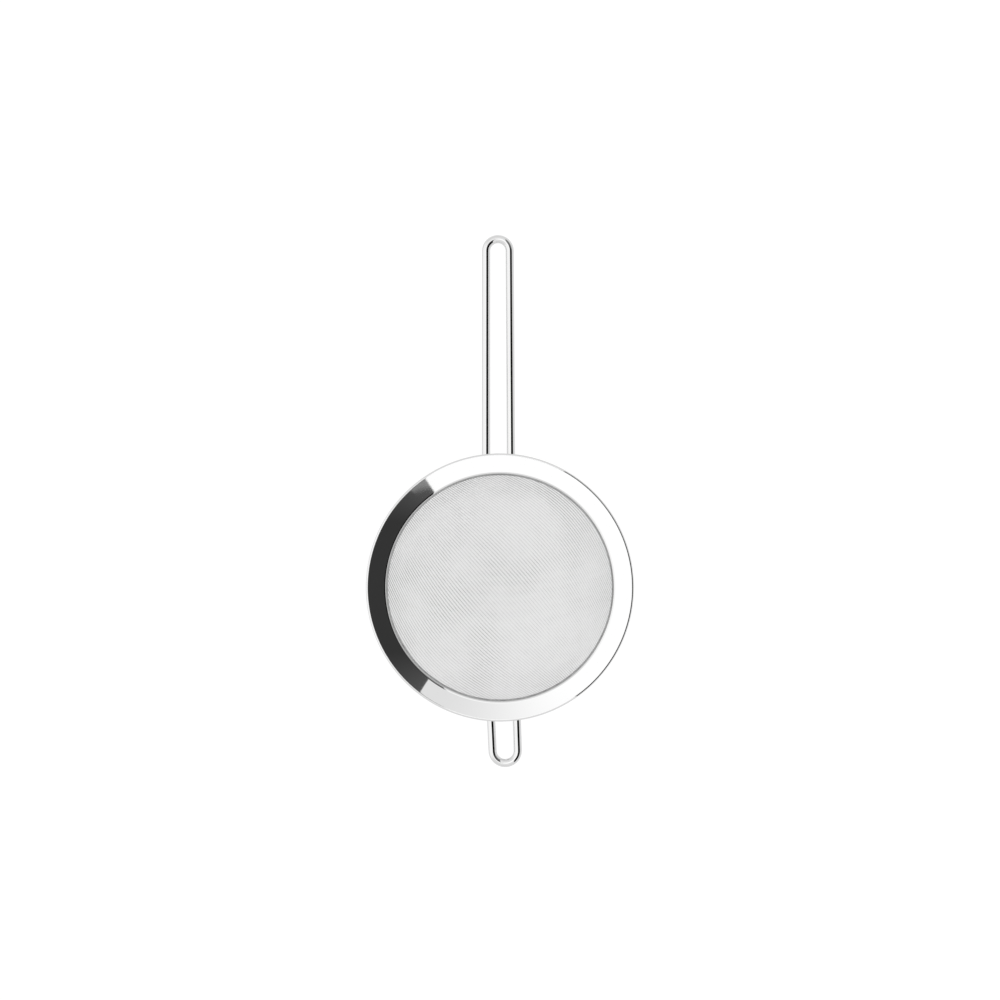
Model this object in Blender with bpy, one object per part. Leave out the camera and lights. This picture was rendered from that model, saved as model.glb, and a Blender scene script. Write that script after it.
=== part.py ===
"""A fine mesh strainer in stainless steel, modelled as the welded assembly that it is.

A bowl of woven wire cloth hangs under a wide pressed rim. The cloth's edge runs on up between the
rim's collar and a clamp ring, which both lie along the bowl's slope. The handle and the rest loop
are bent rods, which run under the rim's lip and are welded to the underside of the flange.

Metres, +Z up, +Y along the handle. The origin is the lowest point of the bowl, on its axis.
"""

import math

import bmesh
import bpy
import numpy as np
from mathutils import Matrix, Vector

# Rim, a pressed sheet
RIM_DIAMETER = 0.160
RIM_WIDTH = 0.0131
SHEET_THICKNESS = 0.0008
FLANGE_FALL_DEG = 5.0
LIP_BEND_INSIDE = 0.0003
LIP_STRAIGHT = 0.0012
COLLAR_BEND_INSIDE = 0.0007
COLLAR_STRAIGHT = 0.0020

# Bowl, drawn from woven wire cloth, whose weave is simplified to a plain grid of bars
BOWL_DEPTH = 0.054
BOWL_EDGE_SLOPE_DEG = 64.0
CLOTH_THICKNESS = 0.0005
BASE_FLAT_DEPTH = 0.0005
GRID_BARS = 11  # each way, an odd number, so that two bars cross at the foot
GRID_BAR_WIDTH = 0.0040
GRID_HEM = 0.0010

# Clamp ring, a flat band
CLAMP_THICKNESS = 0.0008
CLAMP_EDGE_CUT = 0.0002

# Handle, a hairpin bent from round rod
HANDLE_ROD_DIAMETER = 0.005
HANDLE_REACH = 0.1307
HANDLE_ROOT_WIDTH = 0.0199
HANDLE_TIP_WIDTH = 0.0191
HANDLE_OFFSET = -0.00055
HANDLE_LEAN_DEG = 0.17

# Rest loop, a short U bent from round rod, welded on a little askew
LOOP_ROD_DIAMETER = 0.005
LOOP_REACH = 0.0277
LOOP_ROOT_WIDTH = 0.0205
LOOP_TIP_WIDTH = 0.0201
LOOP_OFFSET = -0.0007
LOOP_LEAN_DEG = 2.3

# Weld pads, one between each leg of a rod and the flange
WELD_END_SPACE = 0.0013
WELD_WIDTH = 0.0066
WELD_WRAP_DEG = 52.0
WELD_TAPER = 0.7

# Air between solids that touch on the real object
GAP = 0.0003

# Finishes, each a grey and a roughness
POLISHED = (0.90, 0.05)
WOVEN = (0.85, 0.30)
SATIN = (0.66, 0.30)
WELDED = (0.50, 0.45)

# Facets of the round shapes
TURN_STEPS = 80
BEND_STEPS = 5
WALL_STATIONS = 48
SMALLEST_OPENING = 0.15  # as a share of a whole one, where the hem cuts it
HAIRPIN_STEPS = 16
ROD_BEVEL_RESOLUTION = 6
ROD_SIDES = 4 + 2 * ROD_BEVEL_RESOLUTION
WELD_STATIONS = 7
WELD_ARC_STEPS = 6
SMOOTH_BELOW_DEG = 35.0

FALL = math.radians(FLANGE_FALL_DEG)
SLOPE = math.radians(BOWL_EDGE_SLOPE_DEG)
RIM_RADIUS = RIM_DIAMETER / 2
OPENING_RADIUS = RIM_RADIUS - RIM_WIDTH
LIP_BEND = LIP_BEND_INSIDE + SHEET_THICKNESS
COLLAR_BEND = COLLAR_BEND_INSIDE + SHEET_THICKNESS

# Faces of the sandwich at the bowl's edge, each a distance out from the collar's inner face
CLOTH_FACE = SHEET_THICKNESS + GAP
CLOTH_BACK = CLOTH_FACE + CLOTH_THICKNESS
CLAMP_FACE = CLOTH_BACK + GAP
CLAMP_BACK = CLAMP_FACE + CLAMP_THICKNESS


def at_collar(up, out):
    """A point of the section at the bowl's edge, as (radius, height), measured from the collar's
    lower inner edge: up along the slope, and out through the sandwich, square to the slope."""
    up_slope = Vector((math.cos(SLOPE), math.sin(SLOPE)))
    out_of_slope = Vector((math.sin(SLOPE), -math.cos(SLOPE)))
    return Vector((OPENING_RADIUS, BOWL_DEPTH)) + up_slope * up + out_of_slope * out


def bend_centres():
    """Centres of the bends at the collar and at the lip, as (radius, height), placed so that one
    straight flange is tangent to both."""
    collar = at_collar(COLLAR_STRAIGHT, COLLAR_BEND)
    lip_radius = RIM_RADIUS - LIP_BEND
    run = lip_radius - collar.x
    rise = (run * math.sin(FALL) + COLLAR_BEND - LIP_BEND) / math.cos(FALL)
    return collar, Vector((lip_radius, collar.y + rise))


def lip_bottom():
    return bend_centres()[1].y - LIP_STRAIGHT


def flange_underside(radius):
    """Height of the flange's lower surface at a distance from the axis."""
    lip = bend_centres()[1]
    return lip.y + LIP_BEND_INSIDE / math.cos(FALL) - (lip.x - radius) * math.tan(FALL)


def clamp_length():
    """How far the clamp ring reaches up the slope before its face comes to the flange."""
    steepness = SLOPE - FALL
    room = COLLAR_BEND_INSIDE - GAP + (CLAMP_FACE - COLLAR_BEND) * math.cos(steepness)
    return COLLAR_STRAIGHT + room / math.sin(steepness)


def clamp_outer_radius():
    return at_collar(clamp_length(), CLAMP_BACK).x


def arc(centre, radius, start_deg, end_deg, steps):
    """Points on an arc, from its start to its end."""
    points = []
    for step in range(steps + 1):
        angle = math.radians(start_deg + (end_deg - start_deg) * step / steps)
        points.append((centre[0] + radius * math.cos(angle), centre[1] + radius * math.sin(angle)))
    return points


def steel(name, finish):
    """A steel surface of its own for one piece."""
    grey, roughness = finish
    surface = bpy.data.materials.new(name + "_steel")
    surface.use_nodes = True
    shader = surface.node_tree.nodes["Principled BSDF"]
    shader.inputs["Base Color"].default_value = (grey, grey, grey, 1.0)
    shader.inputs["Metallic"].default_value = 1.0
    shader.inputs["Roughness"].default_value = roughness
    return surface


def add_solid(name, shape, finish):
    """Makes an object of a finished bmesh, with its faces out and its round faces smooth."""
    bmesh.ops.recalc_face_normals(shape, faces=shape.faces)
    mesh = bpy.data.meshes.new(name)
    shape.to_mesh(mesh)
    shape.free()
    mesh.shade_smooth()
    mesh.set_sharp_from_angle(angle=math.radians(SMOOTH_BELOW_DEG))
    mesh.materials.append(steel(name, finish))
    solid = bpy.data.objects.new(name, mesh)
    bpy.context.scene.collection.objects.link(solid)
    return solid


def turned_solid(name, section, finish):
    """Turns a closed section of (radius, height) points round the Z axis."""
    shape = bmesh.new()
    points = [shape.verts.new((radius, 0.0, height)) for radius, height in section]
    edges = [shape.edges.new(pair) for pair in zip(points, points[1:] + points[:1])]
    bmesh.ops.spin(
        shape,
        geom=points + edges,
        cent=(0.0, 0.0, 0.0),
        axis=(0.0, 0.0, 1.0),
        angle=math.tau,
        steps=TURN_STEPS,
        use_merge=True,
    )
    bmesh.ops.remove_doubles(shape, verts=shape.verts, dist=1e-6)
    return add_solid(name, shape, finish)


def rim_flange():
    """The sheet's upper side from lip to collar, then its lower side back."""
    collar, lip = bend_centres()
    flange_deg = 90.0 + FLANGE_FALL_DEG
    collar_deg = 90.0 + BOWL_EDGE_SLOPE_DEG
    section = [(RIM_RADIUS, lip_bottom())]
    section += arc(lip, LIP_BEND, 0.0, flange_deg, BEND_STEPS)
    section += arc(collar, COLLAR_BEND, flange_deg, collar_deg, BEND_STEPS)
    section += [at_collar(0.0, 0.0), at_collar(0.0, SHEET_THICKNESS)]
    section += arc(collar, COLLAR_BEND_INSIDE, collar_deg, flange_deg, BEND_STEPS)
    section += arc(lip, LIP_BEND_INSIDE, flange_deg, 0.0, BEND_STEPS)
    section += [(RIM_RADIUS - SHEET_THICKNESS, lip_bottom())]
    return turned_solid("rim_flange", section, POLISHED)


def wall_curve():
    """The underside of the bowl's wall, from the flat at its foot to the collar, as (radius, height,
    slope). Its height is a sum of the second and the fourth power of the radius, shared so that
    the wall meets the collar at the collar's own slope. The flat cuts it off at the bottom."""
    edge = at_collar(0.0, CLOTH_BACK)
    rise = edge.y + BASE_FLAT_DEPTH
    fourth = math.tan(SLOPE) * edge.x / rise / 2 - 1
    squared = 1 - fourth
    doubled_cut = 2 * BASE_FLAT_DEPTH / rise
    foot = math.sqrt(doubled_cut / (squared + math.sqrt(squared**2 + 2 * fourth * doubled_cut)))
    curve = []
    for station in range(WALL_STATIONS + 1):
        share = foot + (1 - foot) * station / WALL_STATIONS
        height = rise * (squared * share**2 + fourth * share**4) - BASE_FLAT_DEPTH
        steepness = (2 * squared * share + 4 * fourth * share**3) * rise / edge.x
        curve.append((edge.x * share, height, math.atan(steepness)))
    return curve


def cloth_profile():
    """The cloth's underside from the axis to its edge, as lists of the distance along the cloth, the
    radius, the height and the slope."""
    top = at_collar(COLLAR_STRAIGHT, CLOTH_BACK)
    profile = [(0.0, 0.0, 0.0, 0.0)]
    for radius, height, slope in [*wall_curve(), (top.x, top.y, SLOPE)]:
        run, last_radius, last_height, _ = profile[-1]
        run += math.hypot(radius - last_radius, height - last_height)
        profile.append((run, radius, height, slope))
    return [list(column) for column in zip(*profile)]


def cut_along(cloth, limit, place):
    """Cuts the flat cloth's faces nearer than the limit along two lines, which pass the centre at a
    distance, one each way."""
    for across in (Vector((1.0, 0.0, 0.0)), Vector((0.0, 1.0, 0.0))):
        faces = [face for face in cloth.faces if face.calc_center_median().length < limit]
        edges = list(dict.fromkeys(edge for face in faces for edge in face.edges))
        verts = list(dict.fromkeys(vert for face in faces for vert in face.verts))
        bmesh.ops.bisect_plane(
            cloth,
            geom=verts + edges + faces,
            dist=1e-6,
            plane_co=across * place,
            plane_no=across,
        )


def flat_cloth(hem_run, edge_run, top_run):
    """The cloth laid flat: a grid of bars inside the hem, and closed from the hem to its edge. The
    last cuts cross each stretch of a bar once, so that it can bend with the wall."""
    cloth = bmesh.new()
    rings = []
    for run in (hem_run, edge_run, top_run):
        circle = bmesh.ops.create_circle(cloth, radius=run, segments=TURN_STEPS)
        rings.append(circle["verts"])
    cloth.faces.new(rings[0])
    for ring, following in zip(rings, rings[1:]):
        for i in range(TURN_STEPS):
            cloth.faces.new((ring[i - 1], ring[i], following[i], following[i - 1]))

    pitch = 2 * hem_run / (GRID_BARS + 1)
    bars = [pitch * (bar - (GRID_BARS - 1) / 2) for bar in range(GRID_BARS)]
    for bar in bars:
        cut_along(cloth, hem_run, bar - GRID_BAR_WIDTH / 2)
        cut_along(cloth, hem_run, bar + GRID_BAR_WIDTH / 2)

    smallest = SMALLEST_OPENING * (pitch - GRID_BAR_WIDTH) ** 2
    openings = []
    for face in cloth.faces:
        centre = face.calc_center_median()
        clear = min(abs(place - bar) for place in centre.xy for bar in bars) > GRID_BAR_WIDTH / 2
        if clear and centre.length < hem_run and face.calc_area() > smallest:
            openings.append(face)
    bmesh.ops.delete(cloth, geom=openings, context="FACES")
    for bar in [bars[0] - pitch, *bars]:
        cut_along(cloth, hem_run, bar + pitch / 2)
    return cloth


def mesh_bowl():
    """The flat cloth drawn to the bowl's shape, with its edge between the collar and the clamp ring.
    A point keeps its direction from the axis and its distance along the cloth."""
    runs, radii, heights, slopes = cloth_profile()
    edge_run, top_run = runs[-2:]
    cloth = flat_cloth(edge_run - GRID_HEM, edge_run, top_run)
    shape = bmesh.new()
    sides = []
    for vert in cloth.verts:
        run = vert.co.length
        radius, height, slope = (np.interp(run, runs, column) for column in (radii, heights, slopes))
        outside = vert.co.normalized() * radius + Vector((0.0, 0.0, height))
        inwards = vert.co.normalized() * -math.sin(slope) + Vector((0.0, 0.0, math.cos(slope)))
        inside = outside + inwards * CLOTH_THICKNESS
        sides.append((shape.verts.new(outside), shape.verts.new(inside)))
    cloth.verts.index_update()
    for face in cloth.faces:
        outside, inside = zip(*(sides[vert.index] for vert in face.verts))
        shape.faces.new(outside)
        shape.faces.new(inside)
    for edge in cloth.edges:
        if edge.is_boundary:
            first, second = (sides[vert.index] for vert in edge.verts)
            shape.faces.new((*first, *reversed(second)))
    cloth.free()
    return add_solid("mesh_bowl", shape, WOVEN)


def clamp_ring():
    """A band behind the cloth's edge, which fills the space under the flange."""
    near, far, cut, top = CLAMP_FACE, CLAMP_BACK, CLAMP_EDGE_CUT, clamp_length()
    section = [
        at_collar(0.0, near + cut),
        at_collar(0.0, far - cut),
        at_collar(cut, far),
        at_collar(top - cut, far),
        at_collar(top, far - cut),
        at_collar(top, near + cut),
        at_collar(top - cut, near),
        at_collar(cut, near),
    ]
    return turned_solid("clamp_ring", section, SATIN)


def hairpin(name, rod_diameter, reach, root_width, tip_width):
    """A rod bent to a hairpin that lies along +Y. Its two ends stop at the clamp ring, and its tip
    reaches past the rim. The widths are over both legs."""
    root_half = (root_width - rod_diameter) / 2
    tip_half = (tip_width - rod_diameter) / 2
    root_y = clamp_outer_radius() + GAP
    bend_y = RIM_RADIUS + reach - rod_diameter / 2 - tip_half
    bend = arc((0.0, bend_y), tip_half, 180.0, 0.0, HAIRPIN_STEPS)
    route = [(-root_half, root_y), *bend, (root_half, root_y)]
    path = bpy.data.curves.new(name, "CURVE")
    path.dimensions = "3D"
    path.twist_mode = "Z_UP"
    path.bevel_depth = rod_diameter / 2
    path.bevel_resolution = ROD_BEVEL_RESOLUTION
    path.use_fill_caps = True
    spline = path.splines.new("POLY")
    spline.points.add(len(route) - 1)
    for point, (x, y) in zip(spline.points, route):
        point.co = (x, y, 0.0, 1.0)
        point.tilt = math.pi / ROD_SIDES  # turns a facet of the rod to face straight down
    path.materials.append(steel(name, POLISHED))
    rod = bpy.data.objects.new(name, path)
    bpy.context.scene.collection.objects.link(rod)
    return rod


def weld_pad(name, rod, rod_diameter, leg_x):
    """A weld that fills the space between a leg and the flange. It wraps the leg's upper side,
    widens towards the flange and tapers at both ends. It is parented to its rod."""
    place = Matrix.Translation(rod.location) @ rod.rotation_euler.to_matrix().to_4x4()
    wrap_radius = rod_diameter / 2 + GAP
    outer_corner = abs(leg_x) + WELD_WIDTH / 2
    start = clamp_outer_radius() + WELD_END_SPACE
    end = math.sqrt((RIM_RADIUS - SHEET_THICKNESS) ** 2 - outer_corner**2) - WELD_END_SPACE
    shape = bmesh.new()
    rings = []
    for station in range(WELD_STATIONS):
        share = station / (WELD_STATIONS - 1)
        y = start + (end - start) * share
        fullness = math.sqrt(1 - WELD_TAPER * (2 * share - 1) ** 2)
        wrap = WELD_WRAP_DEG * fullness
        saddle = arc((leg_x, 0.0), wrap_radius, 90.0 + wrap, 90.0 - wrap, WELD_ARC_STEPS)
        points = [Vector((x, y, z)) for x, z in saddle]
        for side in (1, -1):
            corner = Vector((leg_x + side * WELD_WIDTH / 2 * fullness, y, 0.0))
            distance = (place @ corner).xy.length
            corner.z = flange_underside(distance) - GAP - rod.location.z
            points.append(corner)
        rings.append([shape.verts.new(point) for point in points])
    for ring, following in zip(rings, rings[1:]):
        for i in range(len(ring)):
            shape.faces.new((ring[i - 1], ring[i], following[i], following[i - 1]))
    shape.faces.new(rings[0])
    shape.faces.new(rings[-1])
    pad = add_solid(name, shape, WELDED)
    pad.parent = rod
    return pad


def welded_hairpin(name, weld_name, rod_diameter, reach, root_width, tip_width, offset, turn_deg):
    """A hairpin in its place under the lip, with the weld pad of each leg. Left and right are the
    strainer's own, so the legs of a hairpin that faces -Y change sides."""
    rod = hairpin(name, rod_diameter, reach, root_width, tip_width)
    rod.location = (offset, 0.0, lip_bottom() - GAP - rod_diameter / 2)
    rod.rotation_euler = (0.0, 0.0, math.radians(turn_deg))
    leg_x = math.copysign((root_width - rod_diameter) / 2, math.cos(rod.rotation_euler.z))
    weld_pad(weld_name + "_left", rod, rod_diameter, -leg_x)
    weld_pad(weld_name + "_right", rod, rod_diameter, leg_x)
    return rod


def handle():
    return welded_hairpin(
        "handle_wire",
        "handle_weld",
        HANDLE_ROD_DIAMETER,
        HANDLE_REACH,
        HANDLE_ROOT_WIDTH,
        HANDLE_TIP_WIDTH,
        HANDLE_OFFSET,
        HANDLE_LEAN_DEG,
    )


def rest_loop():
    return welded_hairpin(
        "rest_loop_wire",
        "rest_weld",
        LOOP_ROD_DIAMETER,
        LOOP_REACH,
        LOOP_ROOT_WIDTH,
        LOOP_TIP_WIDTH,
        LOOP_OFFSET,
        180.0 + LOOP_LEAN_DEG,
    )


def build():
    for old in list(bpy.data.objects):
        bpy.data.objects.remove(old)
    rim_flange()
    mesh_bowl()
    clamp_ring()
    handle()
    rest_loop()


build()
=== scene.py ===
import math

import bmesh
import bpy
import numpy as np
from mathutils import Matrix, Vector


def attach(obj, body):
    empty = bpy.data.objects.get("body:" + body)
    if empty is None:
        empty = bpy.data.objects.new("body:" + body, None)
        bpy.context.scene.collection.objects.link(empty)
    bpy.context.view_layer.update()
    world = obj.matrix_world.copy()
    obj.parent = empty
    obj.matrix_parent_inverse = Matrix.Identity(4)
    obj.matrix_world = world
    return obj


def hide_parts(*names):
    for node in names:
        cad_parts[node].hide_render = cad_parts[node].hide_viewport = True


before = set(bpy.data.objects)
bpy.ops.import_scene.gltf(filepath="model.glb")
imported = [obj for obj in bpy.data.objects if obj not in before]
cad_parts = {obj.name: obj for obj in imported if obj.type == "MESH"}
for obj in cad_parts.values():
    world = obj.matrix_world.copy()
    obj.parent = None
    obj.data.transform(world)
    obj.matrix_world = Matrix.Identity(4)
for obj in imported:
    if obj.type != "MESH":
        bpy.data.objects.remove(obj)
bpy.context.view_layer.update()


# Rim: a ring pressed from one stainless steel sheet and polished to a mirror. Its lip is turned
# down outside, its flange falls a little towards the bowl, and its collar is turned down inside,
# along the slope of the bowl.
RIM_RADIUS = 0.080
SHEET = 0.0008
FALL = math.radians(5.0)
SLOPE = math.radians(64.0)
MOUTH_RADIUS = 0.0669
MOUTH_HEIGHT = 0.054
COLLAR_STRAIGHT = 0.0020
COLLAR_BEND = 0.0015
LIP_STRAIGHT = 0.0015
LIP_BEND = 0.0011
EDGE_ROUND = 0.00018
HOLD = 0.0003
RIM_STEPS = 320
SHEET_GREY = 0.95
# The collar's darker grey is a painted shade.
COLLAR_PAINTED_SHADE = 0.55
COLLAR_TOP_RADIUS = 0.0679
FLANGE_INNER_RADIUS = 0.0682


def at_collar(up, out):
    """A point of the section at the bowl's edge, as (radius, height), measured from the collar's
    lower inner edge: up along the slope, and out square to it."""
    up_slope = Vector((math.cos(SLOPE), math.sin(SLOPE)))
    out_of_slope = Vector((math.sin(SLOPE), -math.cos(SLOPE)))
    return Vector((MOUTH_RADIUS, MOUTH_HEIGHT)) + up_slope * up + out_of_slope * out


def bend(centre, radius, start_deg, end_deg, steps):
    """Points on an arc of a section."""
    turns = [math.radians(start_deg + (end_deg - start_deg) * i / steps) for i in range(steps + 1)]
    return [centre + radius * Vector((math.cos(turn), math.sin(turn))) for turn in turns]


def held(start, end):
    """Two points close to the ends of a straight run, which keep its shading flat between bends."""
    share = HOLD / (end - start).length
    return [start.lerp(end, share), end.lerp(start, share)]


def turned(section, steps):
    """A closed section of (radius, height) points, turned round the Z axis, with its cut edges
    rounded."""
    shape = bmesh.new()
    points = [shape.verts.new((radius, 0.0, height)) for radius, height in section]
    edges = [shape.edges.new(pair) for pair in zip(points, points[1:] + points[:1])]
    bmesh.ops.spin(
        shape,
        geom=points + edges,
        cent=(0.0, 0.0, 0.0),
        axis=(0.0, 0.0, 1.0),
        angle=math.tau,
        steps=steps,
        use_merge=True,
    )
    bmesh.ops.remove_doubles(shape, verts=shape.verts, dist=1e-7)
    round_off(shape, EDGE_ROUND)
    return shape


def round_off(shape, width):
    """Rounds every edge of a shape that turns by more than 60 degrees."""
    cut_edges = [edge for edge in shape.edges if edge.calc_face_angle(0.0) > math.radians(60.0)]
    bmesh.ops.bevel(
        shape,
        geom=cut_edges,
        offset=width,
        offset_type="OFFSET",
        segments=3,
        profile=0.5,
        affect="EDGES",
        material=-1,
    )


def smooth_piece(name, shape, material):
    """Makes a piece of a finished shape, with its faces out and smooth."""
    bmesh.ops.recalc_face_normals(shape, faces=shape.faces)
    mesh = bpy.data.meshes.new(name)
    shape.to_mesh(mesh)
    shape.free()
    mesh.shade_smooth()
    mesh.materials.append(material)
    piece = bpy.data.objects.new(name, mesh)
    bpy.context.scene.collection.objects.link(piece)
    return piece


def add(tree, kind, settings, inputs):
    """Adds a node. Each input is a plain value or another node's output."""
    node = tree.nodes.new("ShaderNode" + kind)
    for key, value in settings.items():
        setattr(node, key, value)
    for key, value in inputs.items():
        if isinstance(value, bpy.types.NodeSocket):
            tree.links.new(value, node.inputs[key])
        else:
            node.inputs[key].default_value = value
    return node


def steel(name, grey, roughness):
    """A plain steel surface, and its tree and shader to add detail to."""
    material = bpy.data.materials.new(name)
    material.use_nodes = True
    shader = material.node_tree.nodes["Principled BSDF"]
    shader.inputs["Base Color"].default_value = (grey, grey, grey, 1.0)
    shader.inputs["Metallic"].default_value = 1.0
    shader.inputs["Roughness"].default_value = roughness
    return material, material.node_tree, shader


def new_group(name, inputs, outputs):
    """An empty node group, with its input and output nodes."""
    group = bpy.data.node_groups.new(name, "ShaderNodeTree")
    for label, kind in inputs:
        group.interface.new_socket(label, in_out="INPUT", socket_type="NodeSocket" + kind)
    for label, kind in outputs:
        group.interface.new_socket(label, in_out="OUTPUT", socket_type="NodeSocket" + kind)
    return group, group.nodes.new("NodeGroupInput"), group.nodes.new("NodeGroupOutput")


# Marks that a polishing wheel or a drawing die leaves: fine lines as a height, and a faint haze
# over the surface that varies the roughness between two values.
marks, marks_in, marks_out = new_group(
    "polishing_marks",
    [("Lines Place", "Vector"), ("Haze Place", "Vector"), ("Bright", "Float"), ("Dull", "Float")],
    [("Height", "Float"), ("Roughness", "Float")],
)
fine_lines = add(
    marks,
    "TexNoise",
    {"noise_dimensions": "3D"},
    {"Vector": marks_in.outputs["Lines Place"], "Scale": 1.0, "Detail": 3.0, "Roughness": 0.6},
)
haze = add(
    marks,
    "TexNoise",
    {"noise_dimensions": "3D"},
    {"Vector": marks_in.outputs["Haze Place"], "Scale": 1.0, "Detail": 4.0, "Roughness": 0.55},
)
lines_and_haze = add(
    marks,
    "Mix",
    {"data_type": "FLOAT"},
    {"Factor": 0.35, "A": haze.outputs["Fac"], "B": fine_lines.outputs["Fac"]},
)
roughness_range = add(
    marks,
    "MapRange",
    {},
    {
        "Value": lines_and_haze.outputs["Result"],
        "From Min": 0.3,
        "From Max": 0.7,
        "To Min": marks_in.outputs["Bright"],
        "To Max": marks_in.outputs["Dull"],
    },
)
marks.links.new(fine_lines.outputs["Fac"], marks_out.inputs["Height"])
marks.links.new(roughness_range.outputs["Result"], marks_out.inputs["Roughness"])

# Coordinates on a turned piece: along a circle nothing changes but the last one, slowly.
round_place, round_in, round_out = new_group(
    "round_the_bowl", [("Place", "Vector"), ("Fineness", "Float")], [("Round Place", "Vector")]
)
place_parts = add(round_place, "SeparateXYZ", {}, {"Vector": round_in.outputs["Place"]})
flat_place = add(
    round_place,
    "CombineXYZ",
    {},
    {"X": place_parts.outputs["X"], "Y": place_parts.outputs["Y"]},
)
radius = add(round_place, "VectorMath", {"operation": "LENGTH"}, {0: flat_place.outputs["Vector"]})
section_place = add(
    round_place,
    "CombineXYZ",
    {},
    {"X": radius.outputs["Value"], "Y": place_parts.outputs["Z"]},
)
fine_place = add(
    round_place,
    "VectorMath",
    {"operation": "SCALE"},
    {0: section_place.outputs["Vector"], "Scale": round_in.outputs["Fineness"]},
)
slow_place = add(
    round_place,
    "VectorMath",
    {"operation": "SCALE"},
    {0: flat_place.outputs["Vector"], "Scale": 12.0},
)
both_places = add(
    round_place,
    "VectorMath",
    {"operation": "ADD"},
    {0: fine_place.outputs["Vector"], 1: slow_place.outputs["Vector"]},
)
round_place.links.new(both_places.outputs["Vector"], round_out.inputs["Round Place"])

collar_centre = at_collar(COLLAR_STRAIGHT, COLLAR_BEND)
lip_radius = RIM_RADIUS - LIP_BEND
flange_rise = (lip_radius - collar_centre.x) * math.sin(FALL) + COLLAR_BEND - LIP_BEND
lip_centre = Vector((lip_radius, collar_centre.y + flange_rise / math.cos(FALL)))
lip_bottom = lip_centre.y - LIP_STRAIGHT
flange_deg = 90.0 + math.degrees(FALL)
collar_deg = 90.0 + math.degrees(SLOPE)
top_lip = bend(lip_centre, LIP_BEND, 0.0, flange_deg, 12)
top_collar = bend(collar_centre, COLLAR_BEND, flange_deg, collar_deg, 10)
under_collar = bend(collar_centre, COLLAR_BEND - SHEET, collar_deg, flange_deg, 10)
under_lip = bend(lip_centre, LIP_BEND - SHEET, flange_deg, 0.0, 12)
lip_outside = Vector((RIM_RADIUS, lip_bottom))
lip_inside = Vector((RIM_RADIUS - SHEET, lip_bottom))
rim_section = [lip_outside, *held(lip_outside, top_lip[0])]
rim_section += [*top_lip, *held(top_lip[-1], top_collar[0])]
rim_section += [*top_collar, *held(top_collar[-1], at_collar(0.0, 0.0)), at_collar(0.0, 0.0)]
rim_section += [at_collar(0.0, SHEET), *held(at_collar(0.0, SHEET), under_collar[0])]
rim_section += [*under_collar, *held(under_collar[-1], under_lip[0])]
rim_section += [*under_lip, *held(under_lip[-1], lip_inside), lip_inside]

# The collar is painted darker than the flange, which is polished to a mirror: a painted shade, for
# the dark reflection of the shadowed bowl that the collar catches.
polished_sheet, tree, shader = steel("polished_sheet", SHEET_GREY, 0.03)
place = add(tree, "TexCoord", {}, {})
place_parts = add(tree, "SeparateXYZ", {}, {"Vector": place.outputs["Object"]})
flat_place = add(
    tree,
    "CombineXYZ",
    {},
    {"X": place_parts.outputs["X"], "Y": place_parts.outputs["Y"]},
)
from_axis = add(tree, "VectorMath", {"operation": "LENGTH"}, {0: flat_place.outputs["Vector"]})
sheet_grey_and_collar_shade = add(
    tree,
    "MapRange",
    {"interpolation_type": "SMOOTHSTEP"},
    {
        "Value": from_axis.outputs["Value"],
        "From Min": COLLAR_TOP_RADIUS,
        "From Max": FLANGE_INNER_RADIUS,
        "To Min": COLLAR_PAINTED_SHADE,
        "To Max": SHEET_GREY,
    },
)
tree.links.new(sheet_grey_and_collar_shade.outputs["Result"], shader.inputs["Base Color"])
around = add(
    tree,
    "Group",
    {"node_tree": round_place},
    {"Place": place.outputs["Object"], "Fineness": 9000.0},
)
wheel_haze = add(
    tree,
    "VectorMath",
    {"operation": "SCALE"},
    {0: place.outputs["Object"], "Scale": 45.0},
)
wheel = add(
    tree,
    "Group",
    {"node_tree": marks},
    {
        "Lines Place": around.outputs["Round Place"],
        "Haze Place": wheel_haze.outputs["Vector"],
        "Bright": 0.008,
        "Dull": 0.024,
    },
)
wheel_bump = add(
    tree,
    "Bump",
    {},
    {"Height": wheel.outputs["Height"], "Strength": 0.1, "Distance": 0.000002},
)
tree.links.new(wheel.outputs["Roughness"], shader.inputs["Roughness"])
tree.links.new(wheel_bump.outputs["Normal"], shader.inputs["Normal"])

rim = smooth_piece("rim", turned(rim_section, RIM_STEPS), polished_sheet)
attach(rim, "root")
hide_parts("rim_flange")


# Bowl: one disc of woven steel cloth, drawn to a bowl. It is a 2/2 twill, in which each wire goes
# over two and under two, one step further along at each wire. Its edge runs up behind the collar.
WIRE = 0.00020
WARP_PITCH = 0.00062
WEFT_PITCH = 0.00069
WALL_RADIUS, WALL_TOP = at_collar(0.0, 0.0016)
FOOT_CUT = 0.0005
FOOT_EASE = 0.0003
EDGE_SHIFT = 0.0003
CLOTH_UP = 0.0017
CLOTH_PARTS = 4
TWILL_REPEAT = 4
PROFILE_REACH = 1.03
PROFILE_POINTS = 2061
WIRE_SHADES = (0.97, 1.0)
# The furrow greys are a painted shade in the twill's furrows.
FURROW_SHADE_GREYS = (0.40, 0.72)

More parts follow.
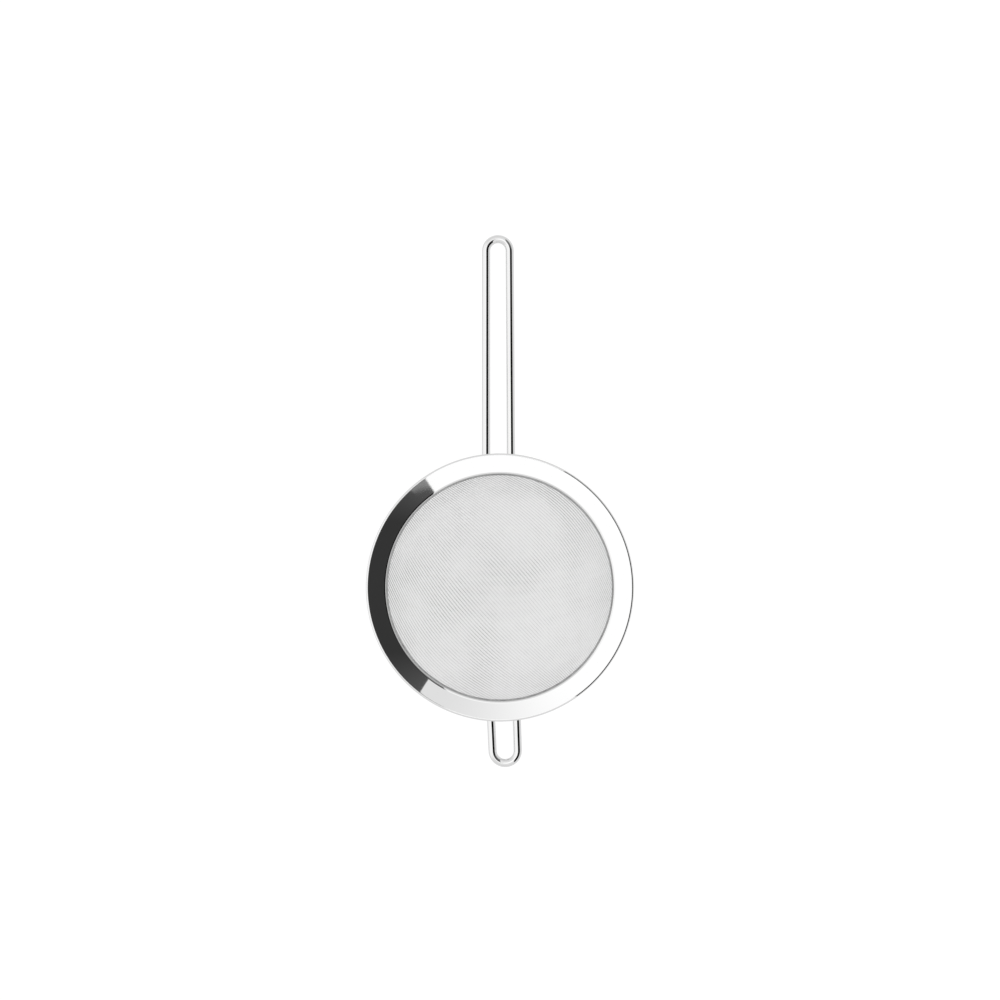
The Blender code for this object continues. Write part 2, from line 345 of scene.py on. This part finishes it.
# The bowl's profile, from its axis to a little above the collar's lower edge, and the length of
# the cloth along it.
rise = WALL_TOP + FOOT_CUT
fourth = math.tan(SLOPE) * WALL_RADIUS / rise / 2 - 1
share = np.linspace(0.0, PROFILE_REACH, PROFILE_POINTS)
wall_share = np.minimum(share, 1.0)
wall_radius = WALL_RADIUS * share
wall_height = rise * ((1 - fourth) * wall_share**2 + fourth * wall_share**4) - FOOT_CUT
wall_height += (wall_radius - WALL_RADIUS * wall_share) * math.tan(SLOPE)
wall_height = (wall_height + np.sqrt(wall_height**2 + FOOT_EASE**2)) / 2
wall_height -= wall_height[0]
wall_slope = np.arctan(np.gradient(wall_height, wall_radius))
inset = WIRE + EDGE_SHIFT * wall_share**4
cloth_radius = wall_radius - inset * np.sin(wall_slope)
cloth_height = wall_height + inset * np.cos(wall_slope)
steps = np.hypot(np.diff(cloth_radius), np.diff(cloth_height))
cloth_length = np.concatenate(([0.0], np.cumsum(steps)))
cloth_edge = WALL_RADIUS + CLOTH_UP * math.cos(SLOPE) - inset[-1] * math.sin(SLOPE)


def wire_lines(pitch):
    """Where the wires of one direction lie across the bowl, as seen from above."""
    edge_length = np.interp(cloth_edge, cloth_radius, cloth_length)
    count = int(edge_length / pitch)
    number = np.arange(-count, count + 1)
    return number, np.sign(number) * np.interp(np.abs(number) * pitch, cloth_length, cloth_radius)


def wire_route(across, number, crossings, lines, is_warp):
    """The points of one wire, which lies at a distance across from the axis, with its crimp."""
    half_chord = math.sqrt(cloth_edge**2 - across**2)
    crossed = np.abs(lines) < half_chord - WIRE
    along = np.concatenate(([-half_chord], lines[crossed], [half_chord]))
    step_along = (number + crossings[crossed]) % TWILL_REPEAT
    over = np.where(step_along < TWILL_REPEAT / 2, 1.0, -1.0)
    lift = np.concatenate(([0.0], over, [0.0])) * (WIRE / 2 if is_warp else -WIRE / 2)
    x = np.full_like(along, across) if is_warp else along
    y = along if is_warp else np.full_like(along, across)
    out = np.maximum(np.hypot(x, y), 1e-9)
    slope = np.interp(out, cloth_radius, wall_slope)
    return np.column_stack((
        x - lift * np.sin(slope) * x / out,
        y - lift * np.sin(slope) * y / out,
        np.interp(out, cloth_radius, cloth_height) + lift * np.cos(slope),
        np.ones_like(along),
    ))


woven_wire, tree, shader = steel("woven_wire", 0.85, 0.50)
shader.inputs["Metallic"].default_value = 0.3
place = add(tree, "TexCoord", {}, {})
each_wire = add(tree, "NewGeometry", {}, {})
patches = add(
    tree,
    "TexNoise",
    {},
    {"Vector": place.outputs["Object"], "Scale": 32.0, "Detail": 3.0},
)
shade = add(
    tree,
    "Mix",
    {"data_type": "FLOAT"},
    {"Factor": 0.6, "A": patches.outputs["Fac"], "B": each_wire.outputs["Random Per Island"]},
)
wire_shade = add(
    tree,
    "MapRange",
    {},
    {
        "Value": shade.outputs["Result"],
        "From Min": 0.2,
        "From Max": 0.8,
        "To Min": WIRE_SHADES[0],
        "To Max": WIRE_SHADES[1],
    },
)
wire_roughness = add(
    tree,
    "MapRange",
    {},
    {
        "Value": patches.outputs["Fac"],
        "From Min": 0.3,
        "From Max": 0.7,
        "To Min": 0.46,
        "To Max": 0.54,
    },
)
tree.links.new(wire_roughness.outputs["Result"], shader.inputs["Roughness"])


def worked_out(tree, operation, first, second=0.0):
    """The result of one sum on values of a material."""
    return add(tree, "Math", {"operation": operation}, {0: first, 1: second}).outputs["Value"]


def wires_across(distance, pitch):
    """How many wires of one direction lie between the axis and a place on the cloth."""
    reach = float(np.interp(cloth_edge, cloth_radius, cloth_length))
    out = worked_out(tree, "DIVIDE", worked_out(tree, "ABSOLUTE", distance), float(cloth_edge))
    along = add(tree, "FloatCurve", {}, {"Value": out})
    for twelfth in range(1, 12):
        length = np.interp(cloth_edge * twelfth / 12, cloth_radius, cloth_length)
        along.mapping.curves[0].points.new(twelfth / 12, float(length) / reach)
    along.mapping.update()
    count = worked_out(tree, "MULTIPLY", along.outputs["Value"], reach / pitch)
    return worked_out(tree, "MULTIPLY", count, worked_out(tree, "SIGN", distance))


# Each rib of the twill runs slantwise over the cloth, and the furrow beside it is painted darker: a
# painted shade, deeper in some patches than in others.
place_parts = add(tree, "SeparateXYZ", {}, {"Vector": place.outputs["Object"]})
wires_passed = worked_out(
    tree,
    "ADD",
    wires_across(place_parts.outputs["X"], WARP_PITCH),
    wires_across(place_parts.outputs["Y"], WEFT_PITCH),
)
rib_turn = worked_out(tree, "MULTIPLY", wires_passed, math.tau / TWILL_REPEAT)
furrow_shade_mask = worked_out(tree, "COSINE", rib_turn)
furrow_painted_shade = add(
    tree,
    "MapRange",
    {},
    {
        "Value": patches.outputs["Fac"],
        "From Min": 0.38,
        "From Max": 0.62,
        "To Min": FURROW_SHADE_GREYS[0],
        "To Max": FURROW_SHADE_GREYS[1],
    },
)
rib_grey_and_furrow_shade = add(
    tree,
    "MapRange",
    {},
    {
        "Value": furrow_shade_mask,
        "From Min": -1.0,
        "From Max": 0.0,
        "To Min": furrow_painted_shade.outputs["Result"],
        "To Max": 1.0,
    },
)
# Each wire's own tone, times the painted shade of the furrows.
wire_tone_and_furrow_shade = worked_out(tree, "MULTIPLY", rib_grey_and_furrow_shade.outputs["Result"], wire_shade.outputs["Result"])
tree.links.new(wire_tone_and_furrow_shade, shader.inputs["Base Color"])

warp_numbers, warp_lines = wire_lines(WARP_PITCH)
weft_numbers, weft_lines = wire_lines(WEFT_PITCH)
warp_wires = [
    wire_route(across, number, weft_numbers, weft_lines, True)
    for number, across in zip(warp_numbers, warp_lines)
]
weft_wires = [
    wire_route(across, number, warp_numbers, warp_lines, False)
    for number, across in zip(weft_numbers, weft_lines)
]
for name, wires in (("warp", warp_wires), ("weft", weft_wires)):
    total = sum(len(route) for route in wires)
    done = 0
    parts = [[] for _ in range(CLOTH_PARTS)]
    for route in wires:
        parts[done * CLOTH_PARTS // total].append(route)
        done += len(route)
    for part, routes in enumerate(parts):
        cloth = bpy.data.curves.new(f"cloth_{name}_{part + 1}", "CURVE")
        cloth.dimensions = "3D"
        cloth.twist_mode = "Z_UP"
        cloth.bevel_depth = WIRE / 2
        cloth.bevel_resolution = 0
        cloth.use_fill_caps = True
        cloth.materials.append(woven_wire)
        for route in routes:
            spline = cloth.splines.new("POLY")
            spline.points.add(len(route) - 1)
            spline.points.foreach_set("co", route.ravel())
        wires_piece = bpy.data.objects.new(cloth.name, cloth)
        bpy.context.scene.collection.objects.link(wires_piece)
        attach(wires_piece, "root")
        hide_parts("mesh_bowl")


# Clamp ring: a satin steel strip, rolled to a ring behind the edge of the cloth and spot-welded
# through it to the collar.
CLAMP_NEAR = 0.0014
CLAMP_FAR = 0.0027
CLAMP_LENGTH = 0.0027
CLAMP_STEPS = 240
STRIP_GREY = 0.66

satin_strip, tree, shader = steel("satin_strip", STRIP_GREY, 0.30)
place = add(tree, "TexCoord", {}, {})
around = add(
    tree,
    "Group",
    {"node_tree": round_place},
    {"Place": place.outputs["Object"], "Fineness": 5000.0},
)
strip_haze = add(
    tree,
    "VectorMath",
    {"operation": "SCALE"},
    {0: place.outputs["Object"], "Scale": 60.0},
)
brush = add(
    tree,
    "Group",
    {"node_tree": marks},
    {
        "Lines Place": around.outputs["Round Place"],
        "Haze Place": strip_haze.outputs["Vector"],
        "Bright": 0.22,
        "Dull": 0.38,
    },
)
brush_bump = add(
    tree,
    "Bump",
    {},
    {"Height": brush.outputs["Height"], "Strength": 0.4, "Distance": 0.00005},
)
tree.links.new(brush.outputs["Roughness"], shader.inputs["Roughness"])
tree.links.new(brush_bump.outputs["Normal"], shader.inputs["Normal"])

clamp_corners = [
    at_collar(0.0, CLAMP_NEAR),
    at_collar(0.0, CLAMP_FAR),
    at_collar(CLAMP_LENGTH, CLAMP_FAR),
    at_collar(CLAMP_LENGTH, CLAMP_NEAR),
]
clamp = smooth_piece("clamp_band", turned(clamp_corners, CLAMP_STEPS), satin_strip)
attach(clamp, "root")
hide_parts("clamp_ring")


# Handle: a hairpin bent from polished round rod. Its two ends run under the lip of the rim and
# stop at the clamp ring.
ROD_RADIUS = 0.00245
ROD_SIDES = 40
ROD_END_ROUND = 0.0004
ROD_AXIS_HEIGHT = 0.052397
ROD_ROOT = 0.0705
HANDLE_REACH = 0.1307
HANDLE_ROOT_HALF = 0.00745
HANDLE_TIP_HALF = 0.00705
HANDLE_ASIDE = -0.00055
HANDLE_TURN = math.radians(0.17)
ROD_NOMINAL_RADIUS = 0.0025
SHORT_RUN = 0.001
TIP_STEPS = 32
ROD_GREY = 0.95


def set_under_rim(aside, turn):
    """The place of a hairpin that goes under the rim's lip: to one side and turned."""
    return Matrix.Translation((aside, 0.0, ROD_AXIS_HEIGHT)) @ Matrix.Rotation(turn, 4, "Z")


def drawn_on(shape, ring, move):
    """Draws a rod's open end on by a straight step and gives back the new open end."""
    made = bmesh.ops.extrude_edge_only(shape, edges=ring)["geom"]
    points = [part for part in made if isinstance(part, bmesh.types.BMVert)]
    bmesh.ops.translate(shape, verts=points, vec=move)
    new = set(points)
    edges = [part for part in made if isinstance(part, bmesh.types.BMEdge)]
    return [edge for edge in edges if new.issuperset(edge.verts)]


def hairpin(reach, root_half, tip_half, place):
    """A round rod bent to a hairpin, from one end at the clamp ring round its tip to the other."""
    bend_y = RIM_RADIUS + reach - ROD_NOMINAL_RADIUS - tip_half
    lean = (root_half - tip_half) / (bend_y - ROD_ROOT)
    leg_runs = (SHORT_RUN, bend_y - ROD_ROOT - 2 * SHORT_RUN, SHORT_RUN)
    first_end = Matrix.Translation((-root_half, ROD_ROOT, 0.0))
    shape = bmesh.new()
    bmesh.ops.create_circle(
        shape,
        segments=ROD_SIDES,
        radius=ROD_RADIUS,
        matrix=first_end @ Matrix.Rotation(math.radians(90.0), 4, "X"),
    )
    ring = list(shape.edges)
    for run in leg_runs:
        ring = drawn_on(shape, ring, (lean * run, run, 0.0))
    points = list({point for edge in ring for point in edge.verts})
    last = bmesh.ops.spin(
        shape,
        geom=points + ring,
        cent=(0.0, bend_y, 0.0),
        axis=(0.0, 0.0, 1.0),
        angle=-math.pi,
        steps=TIP_STEPS,
        use_merge=False,
    )["geom_last"]
    ring = [part for part in last if isinstance(part, bmesh.types.BMEdge)]
    for run in leg_runs:
        ring = drawn_on(shape, ring, (lean * run, -run, 0.0))
    open_edges = [edge for edge in shape.edges if edge.is_boundary]
    bmesh.ops.holes_fill(shape, edges=open_edges, sides=0)
    round_off(shape, ROD_END_ROUND)
    bmesh.ops.transform(shape, matrix=place, verts=shape.verts)
    return shape


polished_rod, tree, shader = steel("polished_rod", ROD_GREY, 0.03)
place = add(tree, "TexCoord", {}, {})
lengthwise = add(
    tree,
    "Mapping",
    {"vector_type": "POINT"},
    {"Vector": place.outputs["Object"], "Scale": (5200.0, 90.0, 5200.0)},
)
rod_haze = add(
    tree,
    "VectorMath",
    {"operation": "SCALE"},
    {0: place.outputs["Object"], "Scale": 70.0},
)
die = add(
    tree,
    "Group",
    {"node_tree": marks},
    {
        "Lines Place": lengthwise.outputs["Vector"],
        "Haze Place": rod_haze.outputs["Vector"],
        "Bright": 0.012,
        "Dull": 0.045,
    },
)
die_bump = add(
    tree,
    "Bump",
    {},
    {"Height": die.outputs["Height"], "Strength": 0.1, "Distance": 0.000002},
)
tree.links.new(die.outputs["Roughness"], shader.inputs["Roughness"])
tree.links.new(die_bump.outputs["Normal"], shader.inputs["Normal"])

handle_place = set_under_rim(HANDLE_ASIDE, HANDLE_TURN)
handle_shape = hairpin(HANDLE_REACH, HANDLE_ROOT_HALF, HANDLE_TIP_HALF, handle_place)
handle = smooth_piece("handle", handle_shape, polished_rod)
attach(handle, "root")
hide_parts("handle_wire")


# Rest loop: a short U bent from the same polished rod, opposite the handle, which lies on the edge
# of a pot. Its ends run under the lip too, and it is welded on a little askew.
LOOP_REACH = 0.0277
LOOP_ROOT_HALF = 0.00775
LOOP_TIP_HALF = 0.00755
LOOP_ASIDE = -0.0007
LOOP_TURN = math.radians(182.3)

loop_place = set_under_rim(LOOP_ASIDE, LOOP_TURN)
loop_shape = hairpin(LOOP_REACH, LOOP_ROOT_HALF, LOOP_TIP_HALF, loop_place)
rest_loop = smooth_piece("rest_loop", loop_shape, polished_rod)
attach(rest_loop, "root")
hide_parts("rest_loop_wire")


# Welds: a bead of weld metal on each leg of the handle and of the rest loop. It fills the space
# between the rod and the underside of the flange, and has cooled in ripples.
WELD_START = 0.0717
WELD_END = 0.0776
WELD_HALF_WIDTH = 0.0033
WELD_SECTION = ((1.0, 0.0046), (0.82, 0.0034), (0.78, 0.0022), (0.72, ROD_RADIUS * 0.3))
WELD_STATIONS = 18
WELD_FIRST_WIDTH = 0.55
WELD_TAPER = 0.7
WELD_RIPPLES = 7
RIPPLE_DEPTH = 0.05
WELD_TOP_FROM = 0.004
WELD_SINK = 0.0001
WELD_GREY = (0.50, 0.49, 0.48, 1.0)
WELD_STRAW = (0.46, 0.42, 0.37, 1.0)

weld_metal, tree, shader = steel("weld_metal", WELD_GREY[0], 0.42)
place = add(tree, "TexCoord", {}, {})
scale_pattern = add(
    tree,
    "TexNoise",
    {},
    {"Vector": place.outputs["Object"], "Scale": 900.0, "Detail": 4.0},
)
tint_pattern = add(
    tree,
    "TexNoise",
    {},
    {"Vector": place.outputs["Object"], "Scale": 260.0, "Detail": 2.0},
)
tint = add(tree, "ValToRGB", {}, {"Fac": tint_pattern.outputs["Fac"]})
tint.color_ramp.elements[0].position = 0.38
tint.color_ramp.elements[0].color = WELD_GREY
tint.color_ramp.elements[1].position = 0.62
tint.color_ramp.elements[1].color = WELD_STRAW
tree.links.new(tint.outputs["Color"], shader.inputs["Base Color"])
weld_roughness = add(
    tree,
    "MapRange",
    {},
    {
        "Value": scale_pattern.outputs["Fac"],
        "From Min": 0.3,
        "From Max": 0.7,
        "To Min": 0.32,
        "To Max": 0.52,
    },
)
weld_bump = add(
    tree,
    "Bump",
    {},
    {"Height": scale_pattern.outputs["Fac"], "Strength": 0.5, "Distance": 0.0001},
)
tree.links.new(weld_roughness.outputs["Result"], shader.inputs["Roughness"])
tree.links.new(weld_bump.outputs["Normal"], shader.inputs["Normal"])


def weld_bead(leg_x, place):
    """A bead along one leg: its section is extruded along the leg in steps, each a little wider or
    narrower than the last, and its top is then set against the flange."""
    section = [(-WELD_HALF_WIDTH * width, height) for width, height in WELD_SECTION]
    section += [(WELD_HALF_WIDTH * width, height) for width, height in reversed(WELD_SECTION)]
    shape = bmesh.new()
    points = [shape.verts.new((leg_x + x, WELD_START, z)) for x, z in section]
    ring = [shape.edges.new(pair) for pair in zip(points, points[1:] + points[:1])]
    step = (WELD_END - WELD_START) / WELD_STATIONS
    to_leg = Matrix.Translation((-leg_x, -WELD_START, 0.0))
    before = WELD_FIRST_WIDTH
    bmesh.ops.scale(shape, vec=(before, 1.0, 1.0), verts=points, space=to_leg)
    for station in range(1, WELD_STATIONS + 1):
        share = station / WELD_STATIONS
        fullness = math.sqrt(1 - WELD_TAPER * (2 * share - 1) ** 2)
        fullness *= 1 + RIPPLE_DEPTH * math.cos(math.tau * share * WELD_RIPPLES)
        ring = drawn_on(shape, ring, (0.0, step, 0.0))
        points = list({point for edge in ring for point in edge.verts})
        bmesh.ops.scale(shape, vec=(fullness / before, 1.0, 1.0), verts=points, space=to_leg)
        before = fullness
    open_edges = [edge for edge in shape.edges if edge.is_boundary]
    bmesh.ops.holes_fill(shape, edges=open_edges, sides=0)
    bmesh.ops.transform(shape, matrix=place, verts=shape.verts)
    under_lip_bend = lip_centre.y + (LIP_BEND - SHEET) / math.cos(FALL)
    for point in shape.verts:
        if point.co.z > ROD_AXIS_HEIGHT + WELD_TOP_FROM:
            inwards = lip_centre.x - point.co.xy.length
            point.co.z = under_lip_bend - inwards * math.tan(FALL) + WELD_SINK
    return shape


for name, leg_x, weld_place in (
    ("handle_weld_left", -HANDLE_ROOT_HALF, handle_place),
    ("handle_weld_right", HANDLE_ROOT_HALF, handle_place),
    ("rest_weld_left", LOOP_ROOT_HALF, loop_place),
    ("rest_weld_right", -LOOP_ROOT_HALF, loop_place),
):
    weld = smooth_piece(name.replace("weld", "bead"), weld_bead(leg_x, weld_place), weld_metal)
    soften = weld.modifiers.new("soften", "SUBSURF")
    soften.levels = 1
    soften.render_levels = 1
    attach(weld, "root")
    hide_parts(name)


# Studio: a white floor, a white tent with one dark card on the right, which the polished steel
# reflects, and a camera straight above.
FLOOR_SIZE = 6.0
FLOOR_GREY = 0.85
SEEN_FLOOR_GREY = 0.25
SEEN_FLOOR_GLOW = 0.80
MIRRORED_FLOOR_GLOW = 0.49
WHITE = (1.0, 1.0, 1.0, 1.0)
TENT_TOP = 1.06
LOW_TENT_SIDES = 0.94
LOW_TENT_ENDS = 0.76
ROOM = 0.66
CARD_NEAR_END = 0.2
CARD_FADE = 1.48
CARD_DARKEST = 0.036
CARD_AT_BACK = 0.18
CORNER = 0.24
PATCH_FADE = 0.285
LEAST_SLANT = 0.001

# Straight edges in the surround, each a point of it in slopes and the edge's direction.
CARD_FRONT = ((0.0741, -0.1408), -55.2)
CARD_BACK = ((0.0655, 0.10), 60.0)
CORNER_SIDE = ((0.0857, -0.1293), 47.4)
PATCH_SIDE = ((0.0802, 0.0720), 38.0)

floor_mesh = bpy.data.meshes.new("floor")
floor_shape = bmesh.new()
bmesh.ops.create_grid(floor_shape, x_segments=1, y_segments=1, size=FLOOR_SIZE / 2)
floor_shape.to_mesh(floor_mesh)
floor_shape.free()
floor = bpy.data.objects.new("floor", floor_mesh)
bpy.context.scene.collection.objects.link(floor)
white_floor = bpy.data.materials.new("white_floor")
white_floor.use_nodes = True
tree = white_floor.node_tree
tree.nodes.remove(tree.nodes["Principled BSDF"])
rays = add(tree, "LightPath", {}, {})
mirrored = rays.outputs["Is Glossy Ray"]
shown = worked_out(tree, "MAXIMUM", rays.outputs["Is Camera Ray"], mirrored)
shown = worked_out(tree, "MAXIMUM", shown, rays.outputs["Is Transmission Ray"])
floor_colour = add(
    tree,
    "Mix",
    {"data_type": "RGBA"},
    {
        "Factor": shown,
        "A": (FLOOR_GREY, FLOOR_GREY, FLOOR_GREY, 1.0),
        "B": (SEEN_FLOOR_GREY, SEEN_FLOOR_GREY, SEEN_FLOOR_GREY, 1.0),
    },
)
floor_glow = add(
    tree,
    "Mix",
    {"data_type": "FLOAT"},
    {
        "Factor": mirrored,
        "A": worked_out(tree, "MULTIPLY", shown, SEEN_FLOOR_GLOW),
        "B": MIRRORED_FLOOR_GLOW,
    },
)
floor_matt = add(tree, "BsdfDiffuse", {}, {"Color": floor_colour.outputs["Result"]})
floor_light = add(tree, "Emission", {}, {"Strength": floor_glow.outputs["Result"]})
floor_both = add(
    tree,
    "AddShader",
    {},
    {0: floor_matt.outputs["BSDF"], 1: floor_light.outputs["Emission"]},
)
tree.links.new(floor_both.outputs["Shader"], tree.nodes["Material Output"].inputs["Surface"])
floor_mesh.materials.append(white_floor)

studio = bpy.data.worlds.new("studio")
bpy.context.scene.world = studio
studio.use_nodes = True
tree = studio.node_tree
direction = add(tree, "TexCoord", {}, {})
parts = add(tree, "SeparateXYZ", {}, {"Vector": direction.outputs["Generated"]})


def soft_step(value, low, high):
    """0 below low and 1 above high, with a smooth run between."""
    return add(
        tree,
        "MapRange",
        {"interpolation_type": "SMOOTHSTEP"},
        {"Value": value, "From Min": low, "From Max": high},
    ).outputs["Result"]


def times(first, second):
    """The product of two values."""
    return worked_out(tree, "MULTIPLY", first, second)


def ratio(first, second):
    """The first value divided by the second."""
    return worked_out(tree, "DIVIDE", first, second)


def less(first, second):
    """The first value less the second."""
    return worked_out(tree, "SUBTRACT", first, second)


def larger(first, second):
    """The larger of two values."""
    return worked_out(tree, "MAXIMUM", first, second)


def blend(share, first, second):
    """The first value where the share is 0, and the second where it is 1."""
    values = {"Factor": share, "A": first, "B": second}
    return add(tree, "Mix", {"data_type": "FLOAT"}, values).outputs["Result"]


def line_side(across, along, through, direction_deg):
    """How far a direction lies to the right of a line, in slopes."""
    turn = math.radians(direction_deg)
    side_across = times(less(across, through[0]), math.sin(turn))
    side_along = times(less(along, through[1]), math.cos(turn))
    return less(side_across, side_along)


# A place in the surround is given by its slopes to the right and to the back of straight up.
upward = larger(parts.outputs["Z"], 0.01)
right = ratio(parts.outputs["X"], upward)
back = ratio(parts.outputs["Y"], upward)
apart = add(tree, "CombineXYZ", {}, {"X": right, "Y": back})
slant = add(tree, "VectorMath", {"operation": "LENGTH"}, {0: apart.outputs["Vector"]})
slant = slant.outputs["Value"]

# The tent is brightest at its top, and greyer low down, most of all at the back and the front.
along_back = ratio(worked_out(tree, "ABSOLUTE", back), larger(slant, LEAST_SLANT))
low_tent = blend(soft_step(along_back, 0.35, 0.8), LOW_TENT_SIDES, LOW_TENT_ENDS)
tent = blend(soft_step(slant, 0.17, 0.45), TENT_TOP, low_tent)

# The dark card fills a sector on the right. It darkens away from its near end, is greyer at the
# back, and has a grey corner in front.
front_side = less(0.0, line_side(right, back, *CARD_FRONT))
back_side = line_side(right, back, *CARD_BACK)
card = times(soft_step(front_side, 0.0, 0.0008), soft_step(back_side, 0.0, 0.004))
card_value = larger(CARD_DARKEST, less(CARD_NEAR_END, times(right, CARD_FADE)))
card_value = times(card_value, less(1.0, times(soft_step(right, 0.16, 0.28), 0.9)))
card_value = larger(card_value, times(soft_step(back, 0.15, 0.4), CARD_AT_BACK))
corner_side = less(0.0, line_side(right, back, *CORNER_SIDE))
corner = times(soft_step(corner_side, 0.0, 0.001), soft_step(less(0.0868, right), 0.0, 0.001))
corner = times(corner, soft_step(less(-0.10, back), 0.0, 0.001))
card_value = blend(corner, card_value, CORNER)

# A light grey patch behind it, near the top of the tent, fades out to the left.
near_top = less(1.0, soft_step(slant, 0.118, 0.122))
patch_side = less(0.0, line_side(right, back, *PATCH_SIDE))
patch = times(times(near_top, soft_step(back, 0.050, 0.054)), soft_step(patch_side, 0.0, 0.0006))
patch_value = less(TENT_TOP, times(soft_step(right, -0.085, 0.07), PATCH_FADE))

# The room shows round the tent, low down, on all sides but the left.
not_left = soft_step(ratio(right, larger(slant, LEAST_SLANT)), -0.9, -0.6)
room = times(soft_step(slant, 1.8, 2.2), not_left)
surround = blend(card, tent, card_value)
surround = blend(patch, surround, patch_value)
surround = blend(room, surround, ROOM)
rays = add(tree, "LightPath", {}, {})
sky = blend(rays.outputs["Is Glossy Ray"], 1.0, surround)
tree.links.new(sky, tree.nodes["Background"].inputs["Strength"])
tree.nodes["Background"].inputs["Color"].default_value = WHITE

# The photograph looks straight down, with the rim's plane 0.5963 m wide across the picture.
VIEW_CENTRE = (0.0001, 0.0522)
VIEW_WIDTH = 0.5963
RIM_TOP = 0.0575

lens = bpy.data.cameras.new("camera")
lens.sensor_width = 36.0
lens.lens = 100.0
camera = bpy.data.objects.new("camera", lens)
camera.location = (*VIEW_CENTRE, RIM_TOP + VIEW_WIDTH * lens.lens / lens.sensor_width)
bpy.context.scene.collection.objects.link(camera)
bpy.context.scene.camera = camera
bpy.context.scene.view_settings.view_transform = "Standard"
